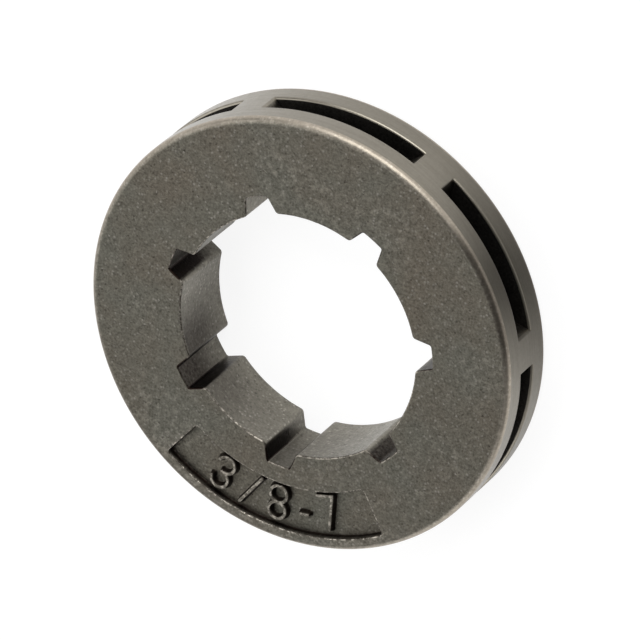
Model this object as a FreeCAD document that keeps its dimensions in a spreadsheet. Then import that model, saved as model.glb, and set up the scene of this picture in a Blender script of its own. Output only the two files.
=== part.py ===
import FreeCAD, Part
import Sketcher
import math
import os

# Rim sprocket for a chainsaw clutch drum, modelled as the single sintered and turned steel ring
# that it is. The ring lies on its back face: its axis is +Z, the origin is the centre of the back
# face, and the face that carries the raised size mark looks up. The mark is centred on -Y, and so
# are the first spline notch and the first web of the rim.

doc = FreeCAD.newDocument("rim_sprocket")

# Driving dimensions in millimetres and degrees, one row each: name, value, meaning.
SIZES = (
    ("outside_diameter", 35.0, "rim that the chain's side links rest on"),
    ("ring_width", 6.2, "back face to marked face"),
    ("rim_edge_radius", 0.5, "rounding of both outer edges"),
    ("slot_count", 7, "drive link pockets, and as many spline notches"),
    ("bore_diameter", 19.7, "lands of the splined bore"),
    ("notch_root_diameter", 22.5, "bottoms of the spline notches"),
    ("notch_root_width", 1.84, "notch across its bottom, before the corners are rounded"),
    ("notch_flank_angle", 15.5, "lean of each notch flank from the notch's centre line"),
    ("notch_root_corner", 0.2, "inner corners at the notch bottom"),
    ("land_corner", 0.35, "outer corners where a flank meets a land"),
    ("bore_edge_break", 0.12, "chamfer round both ends of the splined bore"),
    ("pocket_width", 1.84, "drive link pocket along the axis"),
    ("tooth_tip_width", 2.72, "web between two pockets, across its tip at the rim"),
    ("pocket_floor_radius", 12.2, "flat pocket floor, measured from the axis"),
    ("pocket_floor_width", 2.82, "flat pocket floor along the rim, before its corners are rounded"),
    ("pocket_floor_corner", 0.6, "corners between the floor and the web flanks"),
    ("pocket_edge_radius", 0.2, "rounding of the pocket's mouth at the rim"),
    ("panel_rim_land", 1.0, "rim to the outer wall of the recessed mark panel"),
    ("panel_bore_land", 1.47, "notch bottoms to the inner wall of the panel"),
    ("panel_sweep", 68.0, "angle from end to end of the mark panel"),
    ("panel_depth", 0.6, "depth of the mark panel"),
    ("panel_corner", 0.3, "upright corners of the mark panel"),
    ("figure_top_gap", 0.08, "tops of the raised figures to the panel's inner wall"),
    ("figure_foot_gap", 0.4, "feet of the raised figures to the panel's outer wall"),
    ("figure_relief", 0.5, "height of the strokes above the panel floor"),
    ("stroke_share", 0.15, "stroke at its foot, for a figure 1 high"),
    ("stroke_top_share", 0.07, "stroke at its top, for a figure 1 high"),
    ("slash_share", 0.375, "fraction stroke from foot to top, across a figure 1 high"),
    ("dash_share", 0.2, "dash from end to end, for a figure 1 high"),
    ("dash_drop_share", 0.12, "dash below the middle of a figure 1 high"),
    ("seven_share", 0.39, "arm of the seven, for a figure 1 high"),
    ("seven_foot_share", -0.02, "foot of the seven, across from the middle of a figure 1 high"),
    ("three_angle", -18.1, "place of the three, from the panel's middle"),
    ("slash_angle", -8.0, "place of the fraction stroke"),
    ("eight_angle", 1.3, "place of the eight"),
    ("dash_angle", 10.1, "place of the dash"),
    ("seven_angle", 18.1, "place of the seven"),
)

sheet = doc.addObject("Spreadsheet::Sheet", "sizes")
for row, (alias, value, meaning) in enumerate(SIZES, start=1):
    sheet.set(f"A{row}", meaning)
    sheet.set(f"B{row}", str(value))
    sheet.setAlias(f"B{row}", alias)
doc.recompute()

ORIGIN_POINT = (-1, 1)
SKETCH_AXES = (-1, -2)
FLAT_AXIS, UPRIGHT_AXIS = SKETCH_AXES
START, END, CENTRE = range(1, 4)
DOWN = -90.0
HALF_TURN, FULL_TURN = 180, 360
Z_UP = FreeCAD.Vector(0, 0, 1)
CLOSE = 1e-4

body = doc.addObject("PartDesign::Body", "rim_sprocket")
body.Label = "rim_sprocket"


def number(expression):
    """Value of an expression of the sheet's names, in millimetres or degrees."""
    result = sheet.evalExpression(expression)
    return float(getattr(result, "Value", result))


def new_sketch(name, offsets=(), plane="XY_Plane"):
    """Sketch parallel to a plane of the body. Each offset is a part of the placement and its value."""
    sketch = body.newObject("Sketcher::SketchObject", name)
    base = next(item for item in body.Origin.OriginFeatures if item.Role == plane)
    sketch.AttachmentSupport = [(base, "")]
    sketch.MapMode = "FlatFace"
    for member, expression in offsets:
        sketch.setExpression(f"AttachmentOffset.{member}", expression)
    return sketch


def dimension(sketch, kind, *members, size):
    """Dimension a sketch and bind the dimension to an expression of the sheet's names."""
    index = sketch.addConstraint(Sketcher.Constraint(kind, *members, number(size)))
    sketch.setExpression(f"Constraints[{index}]", size)


def relate(sketch, kind, *members):
    """Add a relation that has no size, such as a shared point."""
    sketch.addConstraint(Sketcher.Constraint(kind, *members))


def close_loop(sketch, pieces):
    """Join the pieces of an outline end to start, all the way round."""
    for piece, following in zip(pieces, pieces[1:] + pieces[:1]):
        relate(sketch, "Coincident", piece, END, following, START)


def arc(radius, start, end, centre=(0.0, 0.0)):
    """Arc that runs counter-clockwise between two angles in degrees."""
    circle = Part.Circle(FreeCAD.Vector(*centre, 0), Z_UP, radius)
    return Part.ArcOfCircle(circle, math.radians(start), math.radians(end))


def line(start, end):
    return Part.LineSegment(FreeCAD.Vector(*start, 0), FreeCAD.Vector(*end, 0))


def place(sketch, piece, point, across, up):
    """Fix a point of a sketch by its two distances from the sketch's origin."""
    dimension(sketch, "DistanceX", *ORIGIN_POINT, piece, point, size=across)
    dimension(sketch, "DistanceY", *ORIGIN_POINT, piece, point, size=up)


volumes = [0.0]


def finish_feature(feature, sign):
    """Recompute, and stop if the feature failed or changed the volume the wrong way."""
    doc.recompute()
    if {"Invalid", "Error"} & set(feature.State) or feature.Shape.isNull():
        raise RuntimeError(f"{feature.Name} failed: {feature.State}")
    volume = feature.Shape.Volume
    if sign * (volume - volumes[-1]) <= 0:
        raise RuntimeError(f"{feature.Name} went from {volumes[-1]:.3f} to {volume:.3f} mm3")
    volumes.append(volume)
    body.Tip = feature
    print(f"{feature.Name}: {volume:.2f} mm3")


def polar_pattern(name, feature):
    """Repeat a feature once for each slot, round the ring's axis."""
    pattern = body.newObject("PartDesign::PolarPattern", name)
    pattern.Originals = [feature]
    axis = next(line for line in body.Origin.OriginFeatures if line.Role == "Z_Axis")
    pattern.Axis = (axis, [""])
    pattern.Angle = FULL_TURN
    pattern.setExpression("Occurrences", "sizes.slot_count")
    feature.Visibility = False
    return pattern


def edges_of(feature, chosen):
    """Names of the edges of a feature that a test picks out."""
    return [f"Edge{i}" for i, edge in enumerate(feature.Shape.Edges, start=1) if chosen(edge)]


def dress(kind, name, chosen, size, sign):
    """Round or chamfer the chosen edges of everything built so far."""
    base = body.Tip
    feature = body.newObject(f"PartDesign::{kind}", name)
    feature.Base = (base, edges_of(base, chosen))
    member = "Radius" if kind == "Fillet" else "Size"
    feature.setExpression(member, size)
    finish_feature(feature, sign)
    return feature


def radius_at(point):
    return math.hypot(point.x, point.y)


def is_upright(edge):
    """True for a straight edge parallel to the ring's axis."""
    if not isinstance(edge.Curve, Part.Line):
        return False
    start, end = edge.Vertexes[0].Point, edge.Vertexes[-1].Point
    return math.hypot(start.x - end.x, start.y - end.y) < CLOSE


def upright_at(radius):
    """Test for upright edges that stand at one distance from the axis."""
    return lambda edge: is_upright(edge) and abs(radius_at(edge.Vertexes[0].Point) - radius) < CLOSE


# The blank is a flat ring with its two outer edges rounded.
blank_sketch = new_sketch("blank_outline")
for diameter in ("outside_diameter", "bore_diameter"):
    circle = blank_sketch.addGeometry(Part.Circle(FreeCAD.Vector(), Z_UP, number(f"sizes.{diameter} / 2")))
    relate(blank_sketch, "Coincident", circle, CENTRE, *ORIGIN_POINT)
    dimension(blank_sketch, "Radius", circle, size=f"sizes.{diameter} / 2")
blank = body.newObject("PartDesign::Pad", "blank")
blank.Profile = blank_sketch
blank.setExpression("Length", "sizes.ring_width")
finish_feature(blank, 1)

rim_radius = number("sizes.outside_diameter / 2")


def on_rim_circle(edge):
    return isinstance(edge.Curve, Part.Circle) and abs(edge.Curve.Radius - rim_radius) < CLOSE


dress("Fillet", "rim_edges", on_rim_circle, "sizes.rim_edge_radius", -1)

# One spline notch, drawn towards -Y on the marked face. Its root is an arc about the axis, its
# flanks lean outwards towards the bore, and it closes one notch depth inside the bore.
ROOT_REACH = "sqrt((sizes.notch_root_diameter / 2) ^ 2 - (sizes.notch_root_width / 2) ^ 2)"
NOTCH_CLOSE = "(sizes.bore_diameter - sizes.notch_root_diameter / 2)"
NOTCH_MOUTH = (
    f"sizes.notch_root_width + 2 * ({ROOT_REACH} - {NOTCH_CLOSE}) * tan(sizes.notch_flank_angle)"
)
notch_sketch = new_sketch("notch_outline", [("Base.z", "sizes.ring_width")])
root_half = math.degrees(math.asin(number("sizes.notch_root_width / sizes.notch_root_diameter")))
root_corner = (number("sizes.notch_root_width / 2"), -number(ROOT_REACH))
mouth_corner = (number(NOTCH_MOUTH) / 2, -number(NOTCH_CLOSE))
root, right_flank, mouth, left_flank = notch_sketch.addGeometry([
    arc(number("sizes.notch_root_diameter / 2"), DOWN - root_half, DOWN + root_half),
    line(root_corner, mouth_corner),
    line(mouth_corner, (-mouth_corner[0], mouth_corner[1])),
    line((-mouth_corner[0], mouth_corner[1]), (-root_corner[0], root_corner[1])),
])
close_loop(notch_sketch, (root, right_flank, mouth, left_flank))
relate(notch_sketch, "Coincident", root, CENTRE, *ORIGIN_POINT)
relate(notch_sketch, "Symmetric", root, START, root, END, UPRIGHT_AXIS)
relate(notch_sketch, "Symmetric", mouth, START, mouth, END, UPRIGHT_AXIS)
dimension(notch_sketch, "Radius", root, size="sizes.notch_root_diameter / 2")
dimension(notch_sketch, "DistanceX", root, START, root, END, size="sizes.notch_root_width")
dimension(notch_sketch, "DistanceX", mouth, END, mouth, START, size=NOTCH_MOUTH)
dimension(notch_sketch, "DistanceY", mouth, START, *ORIGIN_POINT, size=NOTCH_CLOSE)
notch = body.newObject("PartDesign::Pocket", "notch")
notch.Profile = notch_sketch
notch.Type = "ThroughAll"
finish_feature(notch, -1)
finish_feature(polar_pattern("spline_notches", notch), -1)

# The broach leaves small rounded corners, and both ends of the bore are deburred.
notch_root_radius = number("sizes.notch_root_diameter / 2")
bore_radius = number("sizes.bore_diameter / 2")
dress("Fillet", "notch_root_corners", upright_at(notch_root_radius), "sizes.notch_root_corner", 1)
dress("Fillet", "land_corners", upright_at(bore_radius), "sizes.land_corner", -1)

ring_width = number("sizes.ring_width")


def on_bore_rim(edge):
    """True for an edge of the bore's outline that lies in either face."""
    box = edge.BoundBox
    flat = box.ZLength < CLOSE and min(abs(box.ZMin), abs(box.ZMax - ring_width)) < CLOSE
    return flat and max(radius_at(v.Point) for v in edge.Vertexes) < notch_root_radius + CLOSE


dress("Chamfer", "bore_edges", on_bore_rim, "sizes.bore_edge_break", -1)

# One drive link pocket, drawn towards -Y on the ring's middle plane and turned half a pitch, so
# that the webs stand over the notches. From each end of a flat floor a web flank leans out to
# the rim, which leaves a web with a narrow tip there and a broad foot at the hub. The outline
# closes well outside the rim.
HALF_PITCH = "180 deg / sizes.slot_count"
MOUTH_ANGLE = f"({HALF_PITCH} - asin(sizes.tooth_tip_width / sizes.outside_diameter))"
MOUTH_HALF = f"sizes.outside_diameter / 2 * sin({MOUTH_ANGLE})"
MOUTH_REACH = f"sizes.outside_diameter / 2 * cos({MOUTH_ANGLE})"
FLOOR_HALF = "sizes.pocket_floor_width / 2"
WALL_SLOPE = f"(({MOUTH_HALF} - {FLOOR_HALF}) / ({MOUTH_REACH} - sizes.pocket_floor_radius))"
OUTER_REACH = "(sizes.outside_diameter / 2 + sizes.ring_width / 2)"
OUTER_HALF = f"({MOUTH_HALF} + ({OUTER_REACH} - {MOUTH_REACH}) * {WALL_SLOPE})"
pocket_sketch = new_sketch(
    "pocket_outline",
    [("Base.z", "sizes.ring_width / 2"), ("Rotation.Angle", HALF_PITCH)],
)
floor_corner = (number(FLOOR_HALF), -number("sizes.pocket_floor_radius"))
outer_corner = (number(OUTER_HALF), -number(OUTER_REACH))
floor, left_wall, opening, right_wall = pocket_sketch.addGeometry([
    line(floor_corner, (-floor_corner[0], floor_corner[1])),
    line((-floor_corner[0], floor_corner[1]), (-outer_corner[0], outer_corner[1])),
    line((-outer_corner[0], outer_corner[1]), outer_corner),
    line(outer_corner, floor_corner),
])
close_loop(pocket_sketch, (floor, left_wall, opening, right_wall))
relate(pocket_sketch, "Symmetric", floor, START, floor, END, UPRIGHT_AXIS)
relate(pocket_sketch, "Symmetric", opening, START, opening, END, UPRIGHT_AXIS)
dimension(pocket_sketch, "DistanceX", floor, END, floor, START, size="sizes.pocket_floor_width")
dimension(pocket_sketch, "DistanceX", opening, START, opening, END, size=f"2 * {OUTER_HALF}")
dimension(pocket_sketch, "DistanceY", floor, START, *ORIGIN_POINT, size="sizes.pocket_floor_radius")
dimension(pocket_sketch, "DistanceY", opening, START, *ORIGIN_POINT, size=OUTER_REACH)
pocket = body.newObject("PartDesign::Pocket", "pocket")
pocket.Profile = pocket_sketch
pocket.SideType = "Symmetric"
pocket.setExpression("Length", "sizes.pocket_width")
finish_feature(pocket, -1)
finish_feature(polar_pattern("drive_link_pockets", pocket), -1)

floor_corner_radius = math.hypot(*floor_corner)
dress("Fillet", "pocket_floor_corners", upright_at(floor_corner_radius), "sizes.pocket_floor_corner", 1)


def on_pocket_mouth(edge):
    """True for an edge that a pocket leaves in the cylinder of the rim."""
    box = edge.BoundBox
    reach = max(abs(box.ZMin - ring_width / 2), abs(box.ZMax - ring_width / 2))
    between = reach < number("sizes.pocket_width / 2") + CLOSE
    return between and all(abs(radius_at(v.Point) - rim_radius) < CLOSE for v in edge.Vertexes)


dress("Fillet", "pocket_mouths", on_pocket_mouth, "sizes.pocket_edge_radius", -1)

# The mark stands in a shallow panel, a sector of the marked face with radial ends. It fills the
# face between the rim and the notch bottoms, apart from its two lands.
PANEL_OUTER = "(sizes.outside_diameter / 2 - sizes.panel_rim_land)"
PANEL_INNER = "(sizes.notch_root_diameter / 2 + sizes.panel_bore_land)"
panel_sketch = new_sketch("panel_outline", [("Base.z", "sizes.ring_width")])
panel_half = number("sizes.panel_sweep / 2")
panel_radii = (number(PANEL_OUTER), number(PANEL_INNER))
outer_x, inner_x = (radius * math.sin(math.radians(panel_half)) for radius in panel_radii)
outer_y, inner_y = (radius * math.cos(math.radians(panel_half)) for radius in panel_radii)
outer_arc, right_end, inner_arc, left_end = panel_sketch.addGeometry([
    arc(panel_radii[0], DOWN - panel_half, DOWN + panel_half),
    line((outer_x, -outer_y), (inner_x, -inner_y)),
    arc(panel_radii[1], DOWN - panel_half, DOWN + panel_half),
    line((-inner_x, -inner_y), (-outer_x, -outer_y)),
])
relate(panel_sketch, "Coincident", outer_arc, END, right_end, START)
relate(panel_sketch, "Coincident", right_end, END, inner_arc, END)
relate(panel_sketch, "Coincident", inner_arc, START, left_end, START)
relate(panel_sketch, "Coincident", left_end, END, outer_arc, START)
for curve, radius in ((outer_arc, PANEL_OUTER), (inner_arc, PANEL_INNER)):
    relate(panel_sketch, "Coincident", curve, CENTRE, *ORIGIN_POINT)
    dimension(panel_sketch, "Radius", curve, size=radius)
    dimension(
        panel_sketch, "DistanceX", curve, START, curve, END,
        size=f"2 * {radius} * sin(sizes.panel_sweep / 2)",
    )
    relate(panel_sketch, "Symmetric", curve, START, curve, END, UPRIGHT_AXIS)
panel = body.newObject("PartDesign::Pocket", "mark_panel")
panel.Profile = panel_sketch
panel.setExpression("Length", "sizes.panel_depth")
finish_feature(panel, -1)


def on_panel_corner(edge):
    """True for the four upright edges at the ends of the panel."""
    if not is_upright(edge) or edge.BoundBox.ZMax < ring_width - CLOSE:
        return False
    radius = radius_at(edge.Vertexes[0].Point)
    return min(abs(radius - wall) for wall in panel_radii) < CLOSE


dress("Fillet", "panel_corners", on_panel_corner, "sizes.panel_corner", 1)

# The raised size mark reads 3/8-7: the chain's pitch in inches and the number of pockets. Each
# stroke is drawn in the upright frame of its own figure, whose top points at the ring's axis. The
# figures fill the panel from wall to wall, apart from their two gaps, and the rest of each figure
# is drawn in proportion to that height.
FIGURE = f"({PANEL_OUTER} - {PANEL_INNER} - sizes.figure_top_gap - sizes.figure_foot_gap)"
FIGURE_RADIUS = f"({PANEL_INNER} + sizes.figure_top_gap + {FIGURE} / 2)"
HALF_STROKE = f"(sizes.stroke_share * {FIGURE} / 2)"
HALF_TOP_STROKE = f"(sizes.stroke_top_share * {FIGURE} / 2)"
TOP = f"({FIGURE} / 2 - {HALF_STROKE})"
BOWL = f"({TOP} / 2)"


def figure_frame(angle):
    """Offsets that carry a sketch to the middle of a figure, on the panel's floor."""
    turn = f"sizes.{angle} * 1 deg"
    return [
        ("Base.x", f"{FIGURE_RADIUS} * sin({turn})"),
        ("Base.y", f"-{FIGURE_RADIUS} * cos({turn})"),
        ("Base.z", "sizes.ring_width - sizes.panel_depth"),
        ("Rotation.Angle", turn),
    ]


def raise_stroke(name, sketch):
    """Pad a stroke up from the panel floor, with leaning sides."""
    stroke = body.newObject("PartDesign::Pad", name)
    stroke.Profile = sketch
    stroke.setExpression("Length", "sizes.figure_relief")
    stroke.setExpression("TaperAngle", f"-atan(({HALF_STROKE} - {HALF_TOP_STROKE}) / sizes.figure_relief)")
    finish_feature(stroke, 1)


def bar(name, angle, start, end):
    """Straight stroke with round ends, between two points given as expressions."""
    sketch = new_sketch(f"{name}_outline", figure_frame(angle))
    first = FreeCAD.Vector(number(start[0]), number(start[1]), 0)
    last = FreeCAD.Vector(number(end[0]), number(end[1]), 0)
    heading = math.degrees(math.atan2(last.y - first.y, last.x - first.x))
    half = number(HALF_STROKE)
    side = FreeCAD.Vector(-(last - first).y, (last - first).x, 0).normalize() * half
    right, far_end, left, near_end = sketch.addGeometry([
        Part.LineSegment(first - side, last - side),
        arc(half, heading - 90, heading + 90, (last.x, last.y)),
        Part.LineSegment(last + side, first + side),
        arc(half, heading + 90, heading + 270, (first.x, first.y)),
    ])
    for piece, following in ((right, far_end), (far_end, left), (left, near_end), (near_end, right)):
        relate(sketch, "Tangent", piece, END, following, START)
    relate(sketch, "Equal", near_end, far_end)
    dimension(sketch, "Radius", near_end, size=HALF_STROKE)
    place(sketch, near_end, CENTRE, *start)
    place(sketch, far_end, CENTRE, *end)
    raise_stroke(name, sketch)


def ring_stroke(name, angle, middle):
    """Full round bowl: the stroke's leaning section turned about the upright middle of the bowl."""
    turn = f"sizes.{angle} * 1 deg"
    reach = f"({FIGURE_RADIUS} - ({middle}))"
    sketch = new_sketch(
        f"{name}_section",
        [
            ("Base.x", f"{reach} * sin({turn})"),
            ("Base.y", "sizes.ring_width - sizes.panel_depth"),
            ("Base.z", f"{reach} * cos({turn})"),
        ],
        plane="XZ_Plane",
    )
    foot, top = f"{BOWL} + {HALF_STROKE}", f"{BOWL} + {HALF_TOP_STROKE}"
    inner_foot, inner_top = f"{BOWL} - {HALF_STROKE}", f"{BOWL} - {HALF_TOP_STROKE}"
    corners = ((inner_foot, 0), (foot, 0), (top, 1), (inner_top, 1))
    points = [(number(across), level * number("sizes.figure_relief")) for across, level in corners]
    sides = sketch.addGeometry([line(start, end) for start, end in zip(points, points[1:] + points[:1])])
    close_loop(sketch, sides)
    for piece, (across, level) in zip(sides, corners):
        dimension(sketch, "DistanceX", *ORIGIN_POINT, piece, START, size=across)
    relate(sketch, "PointOnObject", sides[0], START, FLAT_AXIS)
    relate(sketch, "Horizontal", sides[0])
    relate(sketch, "Horizontal", sides[2])
    dimension(sketch, "DistanceY", *ORIGIN_POINT, sides[2], START, size="sizes.figure_relief")
    bowl = body.newObject("PartDesign::Revolution", name)
    bowl.Profile = sketch
    bowl.ReferenceAxis = (sketch, ["V_Axis"])
    bowl.Angle = FULL_TURN
    finish_feature(bowl, 1)


def hook_stroke(name, angle, middle, start, end):
    """Open round bowl with round ends, from one angle to another, counter-clockwise."""
    sketch = new_sketch(f"{name}_outline", figure_frame(angle))
    centre_y = number(middle)
    bowl, half = number(BOWL), number(HALF_STROKE)
    tips = {}
    for tip in (start, end):
        turn = math.radians(tip)
        tips[tip] = (bowl * math.cos(turn), centre_y + bowl * math.sin(turn))
    outer, last, inner, first = sketch.addGeometry([
        arc(bowl + half, start, end, (0, centre_y)),
        arc(half, end, end + HALF_TURN, tips[end]),
        arc(bowl - half, start, end, (0, centre_y)),
        arc(half, start + HALF_TURN, start + FULL_TURN, tips[start]),
    ])
    relate(sketch, "Tangent", outer, END, last, START)
    relate(sketch, "Tangent", last, END, inner, END)
    relate(sketch, "Tangent", inner, START, first, START)
    relate(sketch, "Tangent", first, END, outer, START)
    relate(sketch, "Coincident", outer, CENTRE, inner, CENTRE)
    relate(sketch, "PointOnObject", outer, CENTRE, UPRIGHT_AXIS)
    dimension(sketch, "DistanceY", *ORIGIN_POINT, outer, CENTRE, size=middle)
    dimension(sketch, "Radius", outer, size=f"{BOWL} + {HALF_STROKE}")
    dimension(sketch, "Radius", inner, size=f"{BOWL} - {HALF_STROKE}")
    for tip, curve in ((start, first), (end, last)):
        dimension(sketch, "DistanceX", *ORIGIN_POINT, curve, CENTRE, size=f"{BOWL} * cos({tip} deg)")
    raise_stroke(name, sketch)


FOOT = f"-{TOP}"
LOW_BOWL, HIGH_BOWL = f"-{BOWL}", BOWL
HOOK_OPENING = 170  # degrees from the bowl's right side to the tip of the hook
HOOK_OVERLAP = 100  # degrees from the bowl's right side to where the two bowls meet

hook_stroke("three_low_bowl", "three_angle", LOW_BOWL, -HOOK_OPENING, HOOK_OVERLAP)
hook_stroke("three_high_bowl", "three_angle", HIGH_BOWL, -HOOK_OVERLAP, HOOK_OPENING)
SLASH_HALF = f"sizes.slash_share * {FIGURE} / 2"
bar("slash", "slash_angle", (f"-{SLASH_HALF}", FOOT), (SLASH_HALF, TOP))
ring_stroke("eight_low_bowl", "eight_angle", LOW_BOWL)
ring_stroke("eight_high_bowl", "eight_angle", HIGH_BOWL)
DASH_HALF = f"sizes.dash_share * {FIGURE} / 2"
DASH_LEVEL = f"-sizes.dash_drop_share * {FIGURE}"
bar("dash", "dash_angle", (f"-{DASH_HALF}", DASH_LEVEL), (DASH_HALF, DASH_LEVEL))
SEVEN_HALF = f"sizes.seven_share * {FIGURE} / 2"
SEVEN_FOOT = f"sizes.seven_foot_share * {FIGURE}"
bar("seven_stem", "seven_angle", (SEVEN_FOOT, FOOT), (SEVEN_HALF, TOP))
bar("seven_arm", "seven_angle", (f"-{SEVEN_HALF}", TOP), (SEVEN_HALF, TOP))

doc.recompute()
for item in doc.Objects:
    if {"Invalid", "Error"} & set(item.State):
        raise RuntimeError(f"{item.Name} is in state {item.State}")
    if item.isDerivedFrom("Sketcher::SketchObject") and not item.FullyConstrained:
        raise RuntimeError(f"{item.Name} is not fully constrained")

shape = body.Shape
if shape.isNull() or not shape.isValid() or len(shape.Solids) != 1:
    raise RuntimeError("the sprocket is not one valid solid")
os.makedirs("parts", exist_ok=True)
shape.exportStep(f"parts/{body.Label}.step")
print(f"rim_sprocket: {shape.Volume:.1f} mm3, box {shape.BoundBox}")
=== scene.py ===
# %% [markdown]
# A rim sprocket is one ring of pressed and sintered steel. It slides on the splined hub of a
# chainsaw's clutch drum, and its seven pockets drive the chain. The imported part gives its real
# size and place. This lesson builds the skin that is seen: every edge rounded as it is on the
# real ring, and a finish for each way in which the metal was worked.

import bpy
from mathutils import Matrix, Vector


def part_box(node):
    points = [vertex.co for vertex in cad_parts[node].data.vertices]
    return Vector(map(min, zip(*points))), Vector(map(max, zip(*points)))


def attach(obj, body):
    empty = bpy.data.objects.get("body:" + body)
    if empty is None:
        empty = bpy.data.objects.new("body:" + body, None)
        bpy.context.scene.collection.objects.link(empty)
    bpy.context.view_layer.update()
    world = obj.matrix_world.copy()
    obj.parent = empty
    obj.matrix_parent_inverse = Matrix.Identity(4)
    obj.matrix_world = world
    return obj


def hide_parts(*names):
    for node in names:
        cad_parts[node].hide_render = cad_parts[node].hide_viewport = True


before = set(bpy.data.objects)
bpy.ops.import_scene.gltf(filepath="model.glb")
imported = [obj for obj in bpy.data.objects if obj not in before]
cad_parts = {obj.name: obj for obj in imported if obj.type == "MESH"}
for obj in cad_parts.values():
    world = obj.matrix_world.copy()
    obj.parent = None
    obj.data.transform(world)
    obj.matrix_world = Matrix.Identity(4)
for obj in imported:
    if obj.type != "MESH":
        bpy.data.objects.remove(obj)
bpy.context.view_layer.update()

# %% Measure the frame
import math

import bmesh
import bpy
import numpy as np
from mathutils import Matrix, Vector
from mathutils.geometry import delaunay_2d_cdt

MM = 0.001
lowest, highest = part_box("rim_sprocket")
RIM = round((highest.x - lowest.x) / 2 / MM, 3)
WIDTH = round((highest.z - lowest.z) / MM, 3)
print(f"ring {2 * RIM:.1f} mm across and {WIDTH:.1f} mm wide")

# %% [markdown]
# The skin is closed: it runs over the faces, round the rim, into the pockets and through the bore
# without a gap. It could be carved with booleans, which leave long thin faces and blotchy shading
# beside every rounding. Here each surface is a grid of two parameters instead, and neighbours use
# the same corners along the line where they meet. A shell collects the corners and faces.

# %% A shell that collects surfaces
CAST, TURNED, ROUNDED, BROACHED, POCKET = range(5)  # in the order of the finishes below


class Shell:
    """Corners in millimetres with their marks, and faces by corner number with their finishes."""

    def __init__(self):
        self.points = np.empty((0, 3))
        self.marks = {name: np.empty(0) for name in ("wear", "soot", "turned")}
        self.faces = []
        self.finishes = []

    def corners(self, points, **marks):
        """Adds an array of points and returns their numbers in the array's own layout."""
        points = np.asarray(points, float)
        first, layout = len(self.points), points.shape[:-1]
        self.points = np.concatenate([self.points, points.reshape(-1, 3)])
        for name, known in self.marks.items():
            new = np.broadcast_to(marks.get(name, 0.0), layout).ravel()
            self.marks[name] = np.concatenate([known, new])
        return np.arange(first, len(self.points)).reshape(layout)

    def add(self, faces, finish):
        """Adds faces with one finish for all, or one for each."""
        self.faces += faces.tolist()
        self.finishes.append(np.broadcast_to(finish, len(faces)))

    def quads(self, rows, finish, closed=True, flip=False):
        """Joins each row of corner numbers to the next. The finish spreads over the quads."""
        if closed:
            rows = np.concatenate([rows, rows[:, :1]], axis=1)
        square = np.stack([rows[:-1, :-1], rows[:-1, 1:], rows[1:, 1:], rows[1:, :-1]], axis=-1)
        if flip:
            square = square[..., ::-1]
        finish = np.broadcast_to(finish, square.shape[:2])
        self.add(square.reshape(-1, 4), finish.ravel())


shell = Shell()
print(f"a shell whose corners carry {', '.join(shell.marks)}")

# %% Helpers for shapes
SUPPORT = 0.04  # millimetres from a rounding to the row that keeps the flat beside it flat


def supported(start, stop, count):
    """Evenly spaced values from start to stop, with one more a little way in from each end."""
    step = math.copysign(SUPPORT, stop - start)
    inner = np.linspace(start, stop, count + 1)[1:-1]
    return np.concatenate([[start, start + step], inner, [stop - step, stop]])


def smooth(share):
    """0 below 0 and 1 above 1, with a soft rise between them."""
    share = np.clip(share, 0, 1)
    return share * share * (3 - 2 * share)


def upright(plan, height):
    """Points over a plan of complex numbers, at one height or one for each point."""
    return np.stack([plan.real, plan.imag, np.broadcast_to(height, plan.shape)], axis=-1)


def lip_profile(size, steps):
    """Quarter round from a flat face to a wall: how far out from the wall, and how far down."""
    turn = np.linspace(0, math.pi / 2, steps + 1)
    return size * (1 - np.sin(turn)), size * (1 - np.cos(turn))


def middle_of_lip(steps):
    """0 at both ends of a rounding and 1 in its middle: the root of a sine."""
    return np.sin(np.linspace(0, math.pi, steps + 1)).clip(0) ** 0.5


print(f"rows along a wall of 1 mm: {supported(0, 1, 4)}")

# %% [markdown]
# The bore is broached with seven notches. A cylinder could be cut by seven boxes, but the corners
# of the notches are small arcs, so the outline is worked out from arcs and straight flanks. Each
# point on it also has a direction that points into the metal. That makes the broken edge easy: the
# same outline, pushed outwards by the width of the break.

# %% Outline of the splined bore
SLOTS = 7
PITCH = 2 * math.pi / SLOTS
DOWN = -math.pi / 2
LAND, ROOT = 9.85, 11.25
ROOT_HALF = 0.92
FLANK = math.radians(15.5)
ROOT_CORNER, LAND_CORNER = 0.2, 0.35
ROOT_STEPS, ROOT_CORNER_STEPS = 2, 5
FLANK_STEPS = 4
LAND_CORNER_STEPS, LAND_STEPS = 8, 8


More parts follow.
